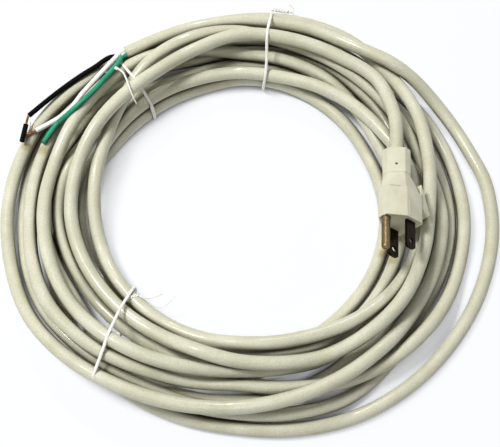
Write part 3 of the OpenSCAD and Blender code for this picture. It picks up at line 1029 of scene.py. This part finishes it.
def finger_grip():
    """Wedge under the base that ends in an undercut ridge."""
    start, lip = SHOULDER_Z + 0.3 * SHOULDER_L, -GRIP_SET - GRIP_LIP
    root, deep = GRIP_ROOT - PLUG_BASE, -PLUG_BASE - GRIP_H
    profile = [(root, start), (-PLUG_BASE, start), (deep, lip), (deep, -GRIP_SET),
               (-PLUG_BASE, lip), (root, lip)]
    wide = PLUG_W / 2 - GRIP_SIDE
    obj = flat_face("grip", profile, -wide)
    grow(obj, profile, profile, wide)
    stand_up = Matrix(((0, 0, 1, 0), (1, 0, 0, 0), (0, 1, 0, 0), (0, 0, 0, 1)))
    obj.data.transform(stand_up)
    soften(obj, GRIP_EDGE)
    return obj


def dimple():
    """The round tool that cuts the small dimple in the neck."""
    bpy.ops.mesh.primitive_cylinder_add(
        vertices=24, radius=DIMPLE_D / 2, depth=DIMPLE_L, rotation=(math.pi / 2, 0, 0))
    tool = bpy.context.object
    bpy.ops.object.transform_apply(rotation=True)
    return turned(tool, DIMPLE_TURN, DIMPLE_AT)


def housing_shell():
    """Neck, shoulders and body, with the carrier's pocket in the mating face."""
    neck, body = neck_outline(), plug_outline()
    root, crown = wider(neck, -ROOT_IN * SHOULDER_STEP), wider(body, -CROWN_IN * SHOULDER_STEP)
    obj = flat_face("housing", neck, NECK_Z)
    grow(obj, neck, neck, SHOULDER_Z)
    grow(obj, neck, root, SHOULDER_Z + SHOULDER_STEP)
    grow(obj, root, crown, -PLUG_L - SHOULDER_STEP)
    grow(obj, crown, body, -PLUG_L)
    grow(obj, body, body, 0)
    bpy.ops.object.mode_set(mode="EDIT")
    bpy.ops.mesh.inset(thickness=CORE_WALL)
    bpy.ops.mesh.extrude_region_move(
        TRANSFORM_OT_translate={"value": (0, 0, -CORE_T - CORE_ROOM)})
    bpy.ops.object.mode_set(mode="OBJECT")
    soften(obj, HOUSING_EDGE)
    return obj


def housing_piece():
    """The moulded housing, with its finger grip and small mouldings."""
    obj = housing_shell()
    unite(obj, finger_grip())
    unite(obj, turned(slab("lip", *LIP, LIP_EDGE), LIP_TURN, LIP_AT))
    unite(obj, dimple(), "DIFFERENCE")
    unite(obj, slab("rib", *RIB, RIB_EDGE))
    obj.data.transform(PLUG_PLACE)
    bpy.ops.object.select_all(action="DESELECT")
    obj.select_set(True)
    bpy.ops.object.shade_smooth_by_angle(angle=math.radians(SHARP_ANGLE))
    return show(obj, "plug")


housing = housing_piece()
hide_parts("plug_housing")


# ---------------------------------------------------------------- the rest of the nodes

# Finish of each solid that stays as it is
NODE_FINISHES = {
    "loose_insulation": "insulation_black",
    "plug_core": "carrier",
    "blade_line": "blade_brass",
    "blade_neutral": "blade_brass",
    "ground_pin": "pin_brass",
    "crimp_line": "crimp_tin",
    "crimp_neutral": "crimp_tin",
    "crimp_ground": "crimp_tin",
    "inner_black": "insulation_black",
    "inner_white": "insulation_white",
    "inner_green": "insulation_green",
}
for name, finish in NODE_FINISHES.items():
    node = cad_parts[name]
    node.data.materials.clear()
    node.data.materials.append(FINISHES[finish])


# ---------------------------------------------------------------- table and light

def add_table():
    """A plain table that shows white, but for the shade close to the object."""
    bpy.ops.object.select_all(action="DESELECT")
    bpy.ops.mesh.primitive_plane_add(size=TABLE_SIZE, location=(0, 0, -TABLE_DROP))
    table = bpy.context.object
    table.name = "table"
    f = Finish("white_table", Roughness=0.6, Specular_IOR_Level=0.2)
    f.colour(rgb("#eceef4"))
    lit = f.node("ShaderNodeEmission", {}, {"Color": (0.98, 0.985, 1, 1), "Strength": 1.0})
    share = f.open_rays() * f.hollows(TABLE_SHADE, low=0.2) * TABLE_WHITE
    f.end("Material Output", share, Wire(f, f.shader.outputs[0]), lit)
    table.data.materials.append(f.material)


def add_lamp(name, place, size, power, tint=(1, 1, 1)):
    """A round soft lamp that aims at the origin."""
    data = bpy.data.lights.new(name, "AREA")
    data.shape, data.size, data.energy, data.color = "DISK", size, power, tint
    lamp = bpy.data.objects.new(name, data)
    bpy.context.scene.collection.objects.link(lamp)
    lamp.location = place
    lamp.rotation_mode = "QUATERNION"
    lamp.rotation_quaternion = (-Vector(place)).to_track_quat("-Z", "Y")


def add_world(strength):
    """Pale light from all round, in front of plain white."""
    world = bpy.data.worlds.new("World")
    bpy.context.scene.world = world
    sky = Tree(world)
    sky.nodes.remove(sky.nodes["Background"])
    light = sky.node(
        "ShaderNodeBackground", {}, {"Color": (0.95, 0.97, 1.0, 1), "Strength": strength})
    white = sky.node("ShaderNodeBackground", {}, {"Color": (1, 1, 1, 1), "Strength": 1.0})
    sky.end("World Output", sky.open_rays(), light, white)


add_table()
add_world(strength=0.24)
add_lamp("key", place=(-0.6, 0.17, 1.24), size=0.36, power=16, tint=(1, 1, 0.985))
add_lamp("sheen", place=(-0.07, 0.97, 0.99), size=0.09, power=4)
add_lamp("fill", place=(-0.1, -0.6, 1.35), size=0.5, power=2.5)

bpy.context.scene.view_settings.view_transform = "Standard"
